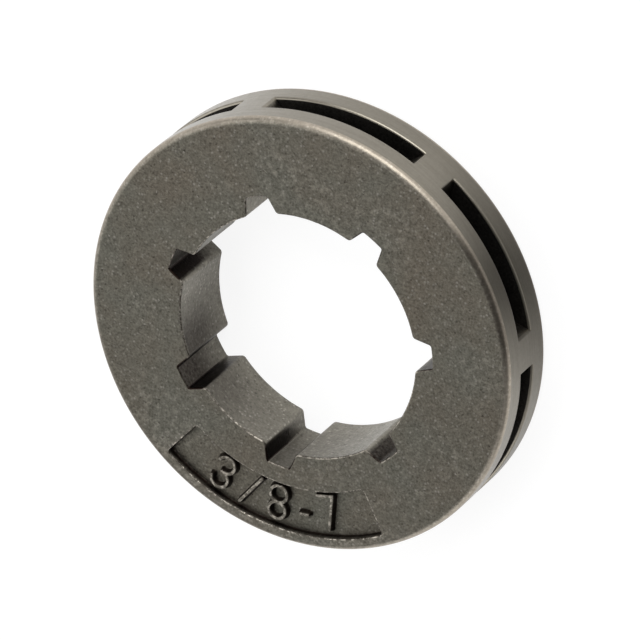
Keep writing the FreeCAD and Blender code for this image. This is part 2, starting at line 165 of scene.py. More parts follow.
def half_notch():
    """Half of one pitch of the outline, from the middle of a notch to the middle of a land.

    In the notch's own frame the middle line is the real axis. Every stretch is
    centre + reach * direction, and leaves its last point to the next one. The two stretches that
    end on a mirror line stop short of it. The two fillet centres follow from their distances to
    the flank, which lies side away from the axis: (radius) sin(turn + lean) = side -/+ fillet.
    """
    side = math.sqrt(ROOT**2 - ROOT_HALF**2) * math.sin(FLANK) + ROOT_HALF * math.cos(FLANK)
    root_turn = math.asin((side - ROOT_CORNER) / (ROOT - ROOT_CORNER)) - FLANK
    land_turn = math.asin((side + LAND_CORNER) / (LAND + LAND_CORNER)) - FLANK
    flank_turn = math.pi / 2 - FLANK
    root_centre = (ROOT - ROOT_CORNER) * np.exp(1j * root_turn)
    land_centre = (LAND + LAND_CORNER) * np.exp(1j * land_turn)
    flank = np.exp(1j * flank_turn)
    flank_start = root_centre + ROOT_CORNER * flank
    flank_run = land_centre - LAND_CORNER * flank - flank_start
    along = supported(0, abs(flank_run), FLANK_STEPS)[:-1] / abs(flank_run)
    root_arc = supported(0, root_turn * ROOT, ROOT_STEPS)[2:-1] / ROOT
    land_arc = supported(land_turn * LAND, PITCH / 2 * LAND, LAND_STEPS)[:-2] / LAND
    stretches = [
        (0, ROOT, root_arc),
        (root_centre, ROOT_CORNER, np.linspace(root_turn, flank_turn, ROOT_CORNER_STEPS + 1)[:-1]),
        (flank_start + along * flank_run, 0, np.full(along.size, flank_turn)),
        (land_centre, -LAND_CORNER, np.linspace(flank_turn, land_turn, LAND_CORNER_STEPS + 1)[:-1]),
        (0, LAND, land_arc),
    ]
    points = [centre + reach * np.exp(1j * turns) for centre, reach, turns in stretches]
    facing = np.exp(1j * np.concatenate([turns for _, _, turns in stretches]))
    at_land_corner = np.repeat([0, 0, 0, 1, 0], [turns.size for _, _, turns in stretches])
    return np.concatenate(points), facing, at_land_corner


half, half_facing, half_corner = half_notch()
one_pitch = np.concatenate([half[::-1].conj(), [ROOT], half])
one_facing = np.concatenate([half_facing[::-1].conj(), [1], half_facing])
one_corner = np.concatenate([half_corner[::-1], [0], half_corner])
pitch_turns = np.exp(1j * (DOWN + PITCH * np.arange(SLOTS)))[:, None]
bore = (one_pitch * pitch_turns).ravel()
facing = (one_facing * pitch_turns).ravel()
on_corner = np.tile(one_corner, SLOTS)
print(f"bore outline of {bore.size} points, {abs(bore).min():.2f} to {abs(bore).max():.2f} mm out")

# %% Rows through the bore
BORE_LIP = 0.12
LIP_STEPS = 5
WALL_ROWS = 6
lip_out, lip_down = lip_profile(BORE_LIP, LIP_STEPS)
between = supported(WIDTH - BORE_LIP, BORE_LIP, WALL_ROWS)[1:-1]


def both_lips(face, lip):
    """A value for each row through the bore: face, lip, 0 on the wall, then lip and face again."""
    return np.concatenate([[face], lip, 0 * between, lip[::-1], [face]])


outs = both_lips(BORE_LIP + SUPPORT, lip_out)
heights = np.concatenate([[WIDTH], WIDTH - lip_down, between, lip_down[::-1], [0]])
on_lip = both_lips(1, np.ones(lip_out.size))
print(f"{heights.size} rows through the bore")

# %% [markdown]
# The bore is not evenly dark. Its lips have rubbed bright and carry a little soot. The flanks and
# floors of the notches are darkened with painted shade, and some notches and lands get more painted
# shade than others. A painted picture could show this, but it needs unwrapped walls. Here every
# corner gets a number for wear and one for soot and shade, from its angle and its distance from the
# axis, and the finishes read them.

# %% Wear, soot and painted shade in the bore
LIP_WEAR, CORNER_WEAR = 0.95, 0.15
LIP_SOOT = 0.3
FLANK_SOOT, FLOOR_SOOT = 1.15, 0.55
FLANK_START, FLANK_FADE = 0.06, 0.4  # millimetres above the land
FLOOR_LEEWAY = 0.01
# Notches and lands go counter-clockwise from the notch at the mark. Each notch has its own painted
# shade, and each land has the painted shade of its first end and of its last.
NOTCH_SOOT = (1.0, 0.8, 0.8, 0.8, 0.1, 1.1, 1.6)
LAND_SOOT = ((0.3, 0.12), *[(0.1, 0.1)] * 3, (0.0, 0.0), (0.0, 0.82), (0.58, 0.25))
LAND_START, LAND_RUN = 0.2, 0.55  # shares of a pitch, from the middle of the notch
# Painted shade grows from the plain face towards the marked face and is full at this share of the
# width.
SOOT_AT_PLAIN_FACE = 0.2
FULL_SOOT_HEIGHT = 0.625  # share of the ring's width

lip_wear = both_lips(0, LIP_WEAR * middle_of_lip(LIP_STEPS))
corner_wear = CORNER_WEAR * on_corner
on_floor = abs(bore) > ROOT - FLOOR_LEEWAY
on_flank = smooth((abs(bore) - LAND - FLANK_START) / FLANK_FADE)
notch_soot = np.where(on_floor, FLOOR_SOOT, FLANK_SOOT * on_flank)
notch_soot = notch_soot * np.repeat(NOTCH_SOOT, one_pitch.size)
pitches = np.angle(bore * np.exp(-1j * DOWN)) / PITCH % SLOTS
first_soot, last_soot = np.array(LAND_SOOT)[pitches.astype(int) % SLOTS].T
land_share = smooth((pitches % 1 - LAND_START) / LAND_RUN)
land_soot = (1 - on_flank) * (first_soot + (last_soot - first_soot) * land_share)
height_share = smooth(heights / (FULL_SOOT_HEIGHT * WIDTH))
row_soot = SOOT_AT_PLAIN_FACE + (1 - SOOT_AT_PLAIN_FACE) * height_share
row_soot[[0, 1, -2, -1]] = 0
print(f"soot of the notches up to {notch_soot.max():.2f}, of the lands up to {land_soot.max():.2f}")

# %% Walls of the bore
# The soot mark of each corner holds the painted shade of its notch and land, and the soot of its
# lip.
bore_rows = np.stack([
    shell.corners(
        upright(bore + out * facing, height),
        wear=np.maximum(wear, corner_wear * (share > 0)),
        soot=np.maximum(share * (notch_soot + (1 - lip) * land_soot), LIP_SOOT * wear),
    )
    for out, height, wear, share, lip in zip(outs, heights, lip_wear, row_soot, on_lip)
])
on_wall = (on_lip[:-1] == 0) | (on_lip[1:] == 0)
shell.quads(bore_rows, np.where(on_wall[:, None], BROACHED, CAST))
print(f"bore walls of {len(shell.faces)} quads")

# %% [markdown]
# The rim is turned: a plain cylinder with both edges rounded to half a millimetre. A profile could
# be spun in one go, but the pockets break the cylinder, so only the two edges are made here. Their
# columns are shared out over the pitches, and each pitch starts and ends in the middle of a web,
# where the frame round one pocket meets the next. The rounding is worn all the way round. The strip
# beside the size mark is painted a little lighter as painted light, and one stretch is darkened
# with painted shade.

# %% Columns and rows of the rim's edges
RIM_EDGE = 0.5
EDGE_STEPS = 10
COLUMNS = 64
TURNED_AT_FACE, TURNED_AT_RIM = -0.1, 1.5  # before it is held between 0 and 1
rim_turns = DOWN + PITCH / COLUMNS * np.arange(SLOTS * COLUMNS)
rim_ring = np.exp(1j * rim_turns)

edge_out, edge_down = lip_profile(RIM_EDGE, EDGE_STEPS)
edge_radii = RIM - np.concatenate([[RIM_EDGE + SUPPORT], edge_out])
edge_drops = np.concatenate([[0], edge_down])
turned_shares = smooth(np.linspace(TURNED_AT_FACE, TURNED_AT_RIM, EDGE_STEPS + 1))
edge_turned = np.concatenate([[0], turned_shares])
edge_middle = np.concatenate([[0], middle_of_lip(EDGE_STEPS)])
edge_rows = list(zip(edge_radii, edge_drops, edge_turned, edge_middle))
print(f"rim edges of {rim_ring.size} columns and {len(edge_rows)} rows")

# %% Rounded edges of the rim
EDGE_WEAR = 0.3
# Painted light: the strip beside the size mark is made lighter through the wear mark.
STRIP_WEAR = 0.2
STRIP_HALF, STRIP_FADE = 0.85, 0.3  # radians, as are those of the painted shade
# Painted shade: one stretch of the rounded edge is darkened through the soot mark.
STAIN, STAIN_TURN = 0.65, math.radians(31)
STAIN_HALF, STAIN_FADE = 0.42, 0.25


def stretch_of_rim(middle, half, fade):
    """1 along a stretch of the rim that ends at half its angle from the middle, 0 beyond it."""
    return smooth((half - abs(np.angle(rim_ring * np.exp(-1j * middle)))) / fade)


beside_panel = STRIP_WEAR * stretch_of_rim(DOWN, STRIP_HALF, STRIP_FADE)
stain = STAIN * stretch_of_rim(STAIN_TURN, STAIN_HALF, STAIN_FADE)
top_rows = np.stack([
    shell.corners(
        upright(radius * rim_ring, WIDTH - drop),
        turned=turned,
        wear=np.maximum(EDGE_WEAR * middle, beside_panel),
        soot=stain * middle,
    )
    for radius, drop, turned, middle in edge_rows
])
low_rows = np.stack([
    shell.corners(upright(radius * rim_ring, drop), turned=turned, wear=EDGE_WEAR * middle)
    for radius, drop, turned, middle in edge_rows
])
shell.quads(top_rows, ROUNDED, flip=True)
shell.quads(low_rows, ROUNDED)
print(f"with the rim's edges {len(shell.faces)} quads")

# %% [markdown]
# Each pocket is a slot for one drive link. A boolean could cut it, but its rounded lip and floor
# would have uneven faces. Seen from outside, the mouth is a rectangle in the rim. A closed loop of
# points runs round it, and the same loop is carried inwards: over the rounded lip, along the
# leaning ends and round the floor's corners. Every step is one row of quads.

# %% Loops round a pocket
POCKET_HALF = 0.92
WEB_TIP_HALF = 1.36
FLOOR_REACH, FLOOR_HALF, FLOOR_CORNER = 12.2, 1.41, 0.6
LOOP_SIDE = 8
MOUTH_TURN = PITCH / 2 - math.asin(WEB_TIP_HALF / RIM)
mouth = RIM * np.exp(1j * MOUTH_TURN)
WALL_SLOPE = (mouth.imag - FLOOR_HALF) / (mouth.real - FLOOR_REACH)
WALL_LEAN = math.atan(WALL_SLOPE)

span = np.linspace(-1, 1, COLUMNS + 1)
rise = np.linspace(-1, 1, LOOP_SIDE + 1)
side, run = np.ones(LOOP_SIDE), np.ones(COLUMNS)
loop_across = np.concatenate([span[:-1], side, span[:0:-1], -side])
loop_up = np.concatenate([-run, rise[:-1], run, rise[:0:-1]])


def wall_turn(radius):
    """Angle from the pocket's middle to its leaning end wall, at a distance from the axis.

    The wall is the line across = FLOOR_HALF + slope * (reach - FLOOR_REACH), and its point at
    that distance is found from the line's own distance to the axis.
    """
    offset = FLOOR_HALF * math.cos(WALL_LEAN) - FLOOR_REACH * math.sin(WALL_LEAN)
    return WALL_LEAN + np.arcsin(offset / radius)


def round_loop(radius, half_turn, half_rise, middle):
    """One loop on a cylinder: a rectangle of that half angle and half height round the middle."""
    plan = radius * np.exp(1j * (middle + loop_across * half_turn))
    return upright(plan, WIDTH / 2 + loop_up * half_rise)


def straight_loop(across, reach, middle):
    """One loop across the pocket at one reach from the axis, as high as the pocket."""
    plan = (reach + 1j * loop_across * across) * np.exp(1j * middle)
    return upright(plan, WIDTH / 2 + loop_up * POCKET_HALF)


print(f"pocket mouth {2 * math.degrees(MOUTH_TURN):.1f} degrees long")
print(f"pocket ends lean by {math.degrees(WALL_LEAN):.1f} degrees")

# %% Frame and lip of the pockets
POCKET_LIP, END_LIP = 0.2, 0.08
POCKET_LIP_STEPS = 6
FRAME_SHARES = np.array([0.03, 0.27, 0.5, 0.73, 0.97])  # of the way from the edges to the lip
lip_turns = np.linspace(0, math.pi / 2, POCKET_LIP_STEPS + 1)
lip_radii = RIM - POCKET_LIP * (1 - np.cos(lip_turns))
lip_rises = POCKET_HALF + POCKET_LIP * (1 - np.sin(lip_turns))
lip_halves = wall_turn(lip_radii) + END_LIP / RIM * (1 - np.sin(lip_turns))
frame_halves = PITCH / 2 + FRAME_SHARES * (lip_halves[0] - PITCH / 2)
frame_rises = WIDTH / 2 - RIM_EDGE + FRAME_SHARES * (lip_rises[0] - WIDTH / 2 + RIM_EDGE)
print(f"pocket mouth {2 * lip_rises[0]:.2f} mm high with its lip, {2 * POCKET_HALF:.2f} mm inside")

# %% Walls of the pockets
WALL_SHARES = np.array([0.06, 0.2, 0.4, 0.7])
CORNER_STEPS = 5


def pocket_corner():
    """Half widths and reaches round the floor's corner, an arc that touches wall and floor."""
    middle_reach = FLOOR_REACH + FLOOR_CORNER
    middle_across = FLOOR_HALF + WALL_SLOPE * FLOOR_CORNER - FLOOR_CORNER / math.cos(WALL_LEAN)
    turn = np.linspace(math.pi / 2 - WALL_LEAN, 0, CORNER_STEPS + 1)
    return middle_across + FLOOR_CORNER * np.sin(turn), middle_reach - FLOOR_CORNER * np.cos(turn)


def pocket_loops(middle):
    """Every loop of one pocket, from the rim's cylinder to the edge of its floor."""
    loops = [round_loop(RIM, half, rise, middle) for half, rise in zip(frame_halves, frame_rises)]
    loops += [round_loop(*size, middle) for size in zip(lip_radii, lip_halves, lip_rises)]
    corner = [straight_loop(across, reach, middle) for across, reach in zip(*pocket_corner())]
    loops += [loops[-1] + share * (corner[0] - loops[-1]) for share in WALL_SHARES]
    return loops + corner


frame_end = FRAME_SHARES.size
lip_end = frame_end + lip_turns.size
loop_count = len(pocket_loops(DOWN))
print(f"{loop_count} loops to a pocket, {lip_end} of them in its frame and lip")


# %% Floor of a pocket
def pocket_floor(loop):
    """Corner numbers of the flat floor, a grid whose border is the pocket's last loop."""
    floor = np.empty((LOOP_SIDE + 1, COLUMNS + 1), int)
    floor[0] = loop[: COLUMNS + 1]
    floor[1:-1, -1] = loop[COLUMNS + 1 : COLUMNS + LOOP_SIDE]
    floor[-1, ::-1] = loop[COLUMNS + LOOP_SIDE : 2 * COLUMNS + LOOP_SIDE + 1]
    floor[1:-1, 0] = loop[:-LOOP_SIDE:-1]
    inner = np.repeat(shell.points[floor[:1, 1:-1]], LOOP_SIDE - 1, axis=0)
    inner[..., 2] = (WIDTH / 2 + rise[1:-1] * POCKET_HALF)[:, None]
    floor[1:-1, 1:-1] = shell.corners(inner)
    return floor


print(f"pocket floor of {LOOP_SIDE} by {COLUMNS} quads")

# %% Put the pockets in
MOUTH_WEAR = 0.06
# Painted shade inside the pockets, deeper from the mouth inwards, carried by the soot mark.
MOUTH_SOOT, POCKET_SOOT = (0.5, 0.75, 0.85, 0.9), 0.9
loop_wear, loop_soot = np.zeros(loop_count), np.zeros(loop_count)
loop_wear[frame_end:lip_end] = MOUTH_WEAR * middle_of_lip(POCKET_LIP_STEPS)
loop_soot[lip_end - 1 :] = POCKET_SOOT
loop_soot[lip_end - 1 :][: len(MOUTH_SOOT)] = MOUTH_SOOT
on_end = abs(loop_across + np.roll(loop_across, -1)) == 2
pocket_finish = np.where(on_end, BROACHED, POCKET)

web_rises = WIDTH / 2 + rise[1:-1] * (WIDTH / 2 - RIM_EDGE)
webs = [
    shell.corners(upright(np.full(web_rises.size, plan), web_rises))
    for plan in RIM * rim_ring[::COLUMNS]
]


def add_pocket(number):
    """One pocket between two webs, from the rim's two edges to its floor."""
    columns = np.arange(number * COLUMNS, (number + 1) * COLUMNS + 1) % rim_ring.size
    low, high = low_rows[-1][columns], top_rows[-1][columns]
    web, next_web = webs[number], webs[(number + 1) % SLOTS]
    rows = [np.concatenate([low, next_web, high[::-1], web[::-1]])]
    marked_loops = zip(pocket_loops(DOWN + (number + 0.5) * PITCH), loop_wear, loop_soot)
    rows += [shell.corners(loop, wear=wear, soot=soot) for loop, wear, soot in marked_loops]
    shell.quads(np.stack(rows[: lip_end + 1]), TURNED)
    shell.quads(np.stack(rows[lip_end:]), pocket_finish)
    shell.quads(pocket_floor(rows[-1]), POCKET, closed=False)


for number in range(SLOTS):
    add_pocket(number)
print(f"{SLOTS} pockets, {len(shell.faces)} quads so far")

# %% [markdown]
# The size mark stands in a shallow panel, pressed in one stroke of the die: steep walls that a
# die could be drawn from, and figures with leaning sides and rounded tops. Figures like these
# could be text, extruded, but a die cutter's strokes have one width and soft edges all along. So
# the panel is a height field: each point takes its height from its distance to the nearest stroke
# and to the nearest wall.

# %% Strokes of the size mark
FIGURE_HALF = 1.4
BOWL = FIGURE_HALF / 2


def bar(start, end):
    """Distance from each point of a plan to a straight stroke."""
    start, end = complex(*start), complex(*end)

    def distance(plan):
        run = end - start
        share = (((plan - start) * run.conjugate()).real / abs(run) ** 2).clip(0, 1)
        return abs(plan - start - share * run)

    return distance


def bowl(height, start=-180, stop=180):
    """Distance to an arc of a circle, counter-clockwise between two angles in degrees."""
    middle, half = math.radians(start + stop) / 2, math.radians(stop - start) / 2

    def distance(plan):
        offset = plan - 1j * height
        turn = np.angle(offset * np.exp(-1j * middle)).clip(-half, half) + middle
        return abs(offset - BOWL * np.exp(1j * turn))

    return distance


print(f"strokes for figures {2 * FIGURE_HALF:.1f} mm high")

# %% Figures of the size mark
FIGURE_MIDDLE = 14.45
TOP, FOOT = FIGURE_HALF, -FIGURE_HALF
# Each figure is its angle from the middle of the mark, in degrees, and its strokes.
FIGURES = (
    (-18.1, (bowl(-BOWL, -170, 100), bowl(BOWL, -100, 170))),
    (-8.0, (bar((-0.62, FOOT), (0.62, TOP)),)),
    (1.3, (bowl(-BOWL), bowl(BOWL))),
    (10.1, (bar((-0.33, -0.4), (0.33, -0.4)),)),
    (18.1, (bar((-0.07, FOOT), (0.64, TOP)), bar((-0.64, TOP), (0.64, TOP)))),
)


def stroke_distance(ring):
    """Distance from points of the ring's plan to the middle line of the nearest stroke."""
    nearest = np.full(ring.shape, np.inf)
    for angle, strokes in FIGURES:
        across = np.exp(1j * math.radians(angle))
        plan = (ring - FIGURE_MIDDLE * across * np.exp(1j * DOWN)) / across
        for stroke in strokes:
            nearest = np.minimum(nearest, stroke(plan))
    return nearest


print(f"{len(FIGURES)} figures of {sum(len(strokes) for _, strokes in FIGURES)} strokes")

# %% Grid of the panel
PANEL_IN, PANEL_OUT = 12.72, 16.5
PANEL_MIDDLE = (PANEL_IN + PANEL_OUT) / 2
PANEL_HALF = math.radians(34)
FIGURES_END = math.radians(21.8)
WALL_ZONE, MARGIN = 0.16, 0.16
FINE, EVEN, COARSE = 0.027, 0.035, 0.1  # millimetres from one row to the next


def paced(stops, paces):
    """Values through all stops, with about the given pace from each to the next."""
    runs = [
        np.linspace(start, stop, round((stop - start) / pace) + 1)[:-1]
        for start, stop, pace in zip(stops[:-1], stops[1:], paces)
    ]
    return np.concatenate([*runs, stops[-1:]])


radius_stops = (PANEL_IN - MARGIN, PANEL_IN + WALL_ZONE, PANEL_OUT - WALL_ZONE, PANEL_OUT + MARGIN)
panel_radii = paced(radius_stops, (FINE, EVEN, FINE))
wall_reach = PANEL_HALF * PANEL_MIDDLE
half_stops = np.array([FIGURES_END * PANEL_MIDDLE, wall_reach - WALL_ZONE, wall_reach + MARGIN])
panel_stops = (*-half_stops[::-1], *half_stops)
panel_turns = paced(panel_stops, (FINE, COARSE, EVEN, COARSE, FINE)) / PANEL_MIDDLE
radius_grid, turn_grid = np.meshgrid(panel_radii, panel_turns, indexing="ij")
panel_plan = radius_grid * np.exp(1j * (DOWN + turn_grid))
print(f"panel grid of {panel_radii.size} by {panel_turns.size} points")

# %% Height field of the panel
PANEL_DEPTH, PANEL_CORNER = 0.6, 0.3
FIGURE_RELIEF = 0.5
WALL_FOOT, WALL_TOP = 0.07, -0.04  # millimetres inwards from the panel's outline
STROKE_FOOT, STROKE_TOP = 0.26, 0.1  # millimetres from the middle line of a stroke


def wall_distance(radius, turn):
    """Distance inwards from the panel's outline, a sector with rounded corners."""
    past_radius = abs(radius - PANEL_MIDDLE) - (PANEL_OUT - PANEL_IN) / 2 + PANEL_CORNER
    past_turn = (abs(turn) - PANEL_HALF) * radius + PANEL_CORNER
    past_corner = np.hypot(past_radius.clip(0), past_turn.clip(0))
    return PANEL_CORNER - past_corner - np.maximum(past_radius, past_turn).clip(None, 0)


inwards = wall_distance(radius_grid, turn_grid)
sunk = smooth((inwards - WALL_TOP) / (WALL_FOOT - WALL_TOP))
raised = smooth((STROKE_FOOT - stroke_distance(panel_plan)) / (STROKE_FOOT - STROKE_TOP))
floor_height = WIDTH - PANEL_DEPTH
panel_height = np.maximum(WIDTH - PANEL_DEPTH * sunk, floor_height + FIGURE_RELIEF * raised)
panel_height[inwards < WALL_TOP] = WIDTH
print(f"panel floor at {panel_height.min():.2f} mm, figures {FIGURE_RELIEF} mm high")

# %% [markdown]
# The panel shows by its marks as much as by its depth. Its upper edge is a thin bright line, worn
# and with a painted highlight, the tops of the figures are rubbed, and painted shade darkens its
# steep walls and the foot of the outer one. The slope of the height field says where the walls are,
# so these marks follow the shape.

# %% Wear, painted light and painted shade of the panel
LIP_LINE, LIP_LINE_WEAR = 0.06, 1.3
FIGURE_WEAR = 0.58
STEEP = 2.5
WALL_SOOT, FOOT_SOOT = 0.9, 0.75
SOOT_REACH = 0.3
slopes = np.hypot(*np.gradient(panel_height, panel_radii, panel_turns * PANEL_MIDDLE))
outer_side = smooth((radius_grid - PANEL_MIDDLE) / (PANEL_OUT - PANEL_MIDDLE))
lip_line = np.exp(-(((inwards - WALL_TOP) / LIP_LINE) ** 2))
figure_tops = smooth(2 * raised - 1)
# The bright line along the panel's upper edge is wear and a painted highlight.
panel_wear = LIP_LINE_WEAR * lip_line + FIGURE_WEAR * figure_tops
# Painted light: the same lighter strip runs on outside the panel's wall, on the mark's outer side.
panel_wear = np.maximum(panel_wear, STRIP_WEAR * (inwards < WALL_TOP) * outer_side)
foot = np.exp(-(PANEL_OUT - radius_grid).clip(0) / SOOT_REACH) * sunk * (1 - raised)
# Painted shade on the steep walls and at the foot of the outer wall.
panel_soot = WALL_SOOT * smooth(slopes / STEEP) * (1 - lip_line) + FOOT_SOOT * foot
panel_marks = {"wear": panel_wear.clip(0, 1), "soot": panel_soot.clip(0, 1)}
panel = shell.corners(upright(panel_plan, panel_height), **panel_marks)
shell.quads(panel, CAST, closed=False, flip=True)
print(f"with the panel {len(shell.faces)} quads")

# %% [markdown]
# What is left are the two flat faces, between the rounded rim, the bore and the panel. A flat
# face needs no grid. A constrained Delaunay net joins the loops that are already there, with a few
# points between them to keep its triangles even.


# %% Where the flat faces lie
def clear_of_bore(plan, gap):
    """True outside the bore's outline, whose distance from the axis is read off at each angle."""
    outline = bore + (BORE_LIP + SUPPORT) * facing
    order = np.argsort(np.angle(outline))
    turns, reaches = np.angle(outline)[order], abs(outline)[order]
    limit = np.interp(np.angle(plan), turns, reaches, period=2 * math.pi)
    return (abs(plan) > limit + gap) & (abs(plan) < RIM - RIM_EDGE - SUPPORT - gap)


def clear_of_panel(plan, gap):
    """True outside the bore and outside the panel's grid."""
    turn = np.angle(plan * np.exp(-1j * DOWN))
    in_turn = abs(turn) < panel_turns[-1] + gap / PANEL_MIDDLE
    in_radius = (abs(plan) > panel_radii[0] - gap) & (abs(plan) < panel_radii[-1] + gap)
    return clear_of_bore(plan, gap) & ~(in_turn & in_radius)


panel_loop = np.concatenate([panel[0, :-1], panel[:-1, -1], panel[-1, :0:-1], panel[:0:-1, 0]])
print(f"loop of {panel_loop.size} corners round the panel")

# %% Flat faces
FILL_START, FILL_MARGIN, FILL_PACE = 12.2, 0.8, 0.9
FILL_COUNT = 105  # points to a ring
FILL_GAP = 0.55
TOUCHING = 1e-6


def fill_points(keep):
    """Points on rings between the loops. Each ring is turned by its own radius, in radians."""
    radii = np.arange(FILL_START, RIM - FILL_MARGIN, FILL_PACE)[:, None]
    turns = np.linspace(-math.pi, math.pi, FILL_COUNT, endpoint=False)
    points = (radii * np.exp(1j * (turns + radii))).ravel()
    return points[keep(points, FILL_GAP)]


def flat_face(loops, height, keep, flip=False):
    """Triangles between closed loops of corner numbers, where keep is true of their middles."""
    numbers = np.concatenate([*loops, shell.corners(upright(fill_points(keep), height))])
    plan = shell.points[numbers, :2]
    starts = np.cumsum([0] + [loop.size for loop in loops])
    edges = [
        start + np.stack([np.arange(loop.size), np.roll(np.arange(loop.size), -1)], axis=1)
        for start, loop in zip(starts, loops)
    ]
    places, borders = [Vector(place) for place in plan.tolist()], np.concatenate(edges).tolist()
    _, _, triangles, origins, _, _ = delaunay_2d_cdt(places, borders, [], 0, TOUCHING)
    origins = np.array([origin[0] for origin in origins])
    triangles = origins[np.array(triangles)]
    middles = plan[triangles].mean(axis=1)
    triangles = numbers[triangles[keep(middles[:, 0] + 1j * middles[:, 1], 0)]]
    shell.add(triangles[:, ::-1] if flip else triangles, CAST)
    return len(triangles)


marked = flat_face([top_rows[0], bore_rows[0], panel_loop], WIDTH, clear_of_panel)
plain = flat_face([low_rows[0], bore_rows[-1]], 0, clear_of_bore, flip=True)
print(f"marked face of {marked} triangles, plain face of {plain}")

# %% [markdown]
# The shell now becomes one mesh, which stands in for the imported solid. Each face knows its finish
# by number, and each mark becomes an attribute that a material can read. The skin is shaded smooth
# except at sharp turns. A count of open edges and a positive volume near the solid's show that it
# has no gap and that its faces point outwards.

# %% Make the mesh
SHARP = math.radians(50)


def placed(name, data):
    """A new object with that data, at the origin of the scene."""
    made = bpy.data.objects.new(name, data)
    bpy.context.scene.collection.objects.link(made)
    return made


mesh = bpy.data.meshes.new("sprocket_ring")
mesh.from_pydata((shell.points * MM).tolist(), [], shell.faces)
mesh.polygons.foreach_set("material_index", np.concatenate(shell.finishes).astype(np.int32))
for name, values in shell.marks.items():
    mark = mesh.attributes.new(name, "FLOAT", "POINT")
    mark.data.foreach_set("value", values.astype(np.float32))
mesh.validate()
mesh.shade_smooth()
mesh.set_sharp_from_angle(angle=SHARP)
ring = placed("sprocket_ring", mesh)
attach(ring, "root")
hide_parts("rim_sprocket")
print(f"a mesh of {len(mesh.vertices)} corners and {len(mesh.polygons)} faces")

# %% Check the mesh
skin = bmesh.new()
skin.from_mesh(mesh)
open_edges = sum(not edge.is_manifold or not edge.is_contiguous for edge in skin.edges)
volume = skin.calc_volume(signed=True) / MM**3
triangle_count = sum(len(face.verts) - 2 for face in skin.faces)
skin.free()
print(f"{triangle_count} triangles, {open_edges} open edges, {volume:.0f} cubic millimetres")

# %% [markdown]
# The finishes come next. All are the same steel, so they share their effects as node groups: a
# grain of pores and specks, wear that brightens edges, and soot with painted shade that darkens
# corners. They could be baked pictures, but those blur close up and need unwrapping, while noise in
# millimetres stays sharp at any distance. Coordinates are turned into millimetres first, so that
# every scale below is a number per millimetre.


# %% Helpers for shader nodes
def wire(tree, made, socket, value):
    """Links a socket to another, or sets it to a plain value."""
    if isinstance(value, bpy.types.NodeSocket):
        tree.links.new(value, made.inputs[socket])
    else:
        made.inputs[socket].default_value = value


def node(tree, kind, inputs=None, **settings):
    """Adds a node, sets its settings, and wires or sets its inputs."""
    made = tree.nodes.new(kind)
    for name, value in settings.items():
        setattr(made, name, value)
    for socket, value in (inputs or {}).items():
        wire(tree, made, socket, value)
    return made


def maths(tree, operation, *values):
    """A calculation with one or two values."""
    return node(tree, "ShaderNodeMath", dict(enumerate(values)), operation=operation).outputs[0]


def times(tree, first, second):
    """The product of two values."""
    return maths(tree, "MULTIPLY", first, second)


def blend(tree, first, second, share):
    """A mix of two values, with the given share of the second."""
    return maths(tree, "ADD", times(tree, first, 1 - share), times(tree, second, share))


def spread(tree, value, low, high, to_low=0.0, to_high=1.0):
    """Maps low..high to to_low..to_high, and holds the ends."""
    limits = {"From Min": low, "From Max": high, "To Min": to_low, "To Max": to_high}
    return node(tree, "ShaderNodeMapRange", {"Value": value, **limits}, clamp=True).outputs[0]


def ranged(tree, share, start, end):
    """The start value where the share is 0, and the end value where it is 1."""
    return spread(tree, share, 0, 1, start, end)


def noise(tree, place, scale, detail=2.0, roughness=0.5):
    """Cloudy noise with the given number of clouds to a millimetre."""
    inputs = {"Vector": place, "Scale": scale, "Detail": detail, "Roughness": roughness}
    return node(tree, "ShaderNodeTexNoise", inputs).outputs[0]


def stark(tree, cloud):
    """Noise seldom leaves 0.3 to 0.7, so that range is spread to 0 to 1."""
    return spread(tree, cloud, 0.3, 0.7)


def mixed(tree, share, first, second, blend_type="MIX"):
    """Mixes two colours. The Mix node's colour sockets have the numbers 6, 7 and 2."""
    inputs = {0: share, 6: first, 7: second}
    return node(tree, "ShaderNodeMix", inputs, data_type="RGBA", blend_type=blend_type).outputs[2]


print("helpers that wire, calculate, cloud and mix")


# %% Helpers for node groups
def new_group(name, inputs, outputs):
    """An empty node group with named sockets. Inputs are name: (kind, default)."""
    group = bpy.data.node_groups.new(name, "ShaderNodeTree")
    for socket, (kind, default) in inputs.items():
        made = group.interface.new_socket(socket, in_out="INPUT", socket_type=f"NodeSocket{kind}")
        made.default_value = default
    for socket, kind in outputs.items():
        group.interface.new_socket(socket, in_out="OUTPUT", socket_type=f"NodeSocket{kind}")
    starts = group.nodes.new("NodeGroupInput").outputs
    ends = group.nodes.new("NodeGroupOutput").inputs
    return group, starts, ends


def give(group, ends, **values):
    """Links values to a group's own outputs and says how large the group is."""
    for name, value in values.items():
        group.links.new(value, ends[name])
    print(f"group {group.name} of {len(group.nodes)} nodes")


def use_group(tree, group, **inputs):
    """Places a group in a tree and wires or sets its inputs."""
    made = tree.nodes.new("ShaderNodeGroup")
    made.node_tree = group
    for name, value in inputs.items():
        wire(tree, made, name.capitalize(), value)
    return made.outputs


print("helpers that make, end and use a group")

# %% Group: place in millimetres
place_group, _, ends = new_group("place_in_millimetres", {}, {"Place": "Vector"})
object_place = node(place_group, "ShaderNodeTexCoord").outputs["Object"]
in_millimetres = {0: object_place, "Scale": 1 / MM}
scaled = node(place_group, "ShaderNodeVectorMath", in_millimetres, operation="SCALE")
give(place_group, ends, Place=scaled.outputs[0])

# %% [markdown]
# Sintered steel is powder that was pressed and baked. Close up it shows grains of about a fifth of
# a millimetre: some catch the light, and pores between them stay dark. Larger patches are scuffed
# by handling. Broad, faint tints of brown and green come from the oven that darkens the steel.

# %% Group: sintered grain
MOTTLE_SHARE = 0.32
CELL_FINENESS = 0.88  # cells to one cloud of the fine noise
CELL_CORE, CELL_EDGE = 0.05, 0.6
FIRST_SPECK, LAST_PORE = 0.72, 0.2  # cells above shine, cells below are pores
SPECK_HEIGHT = 0.5
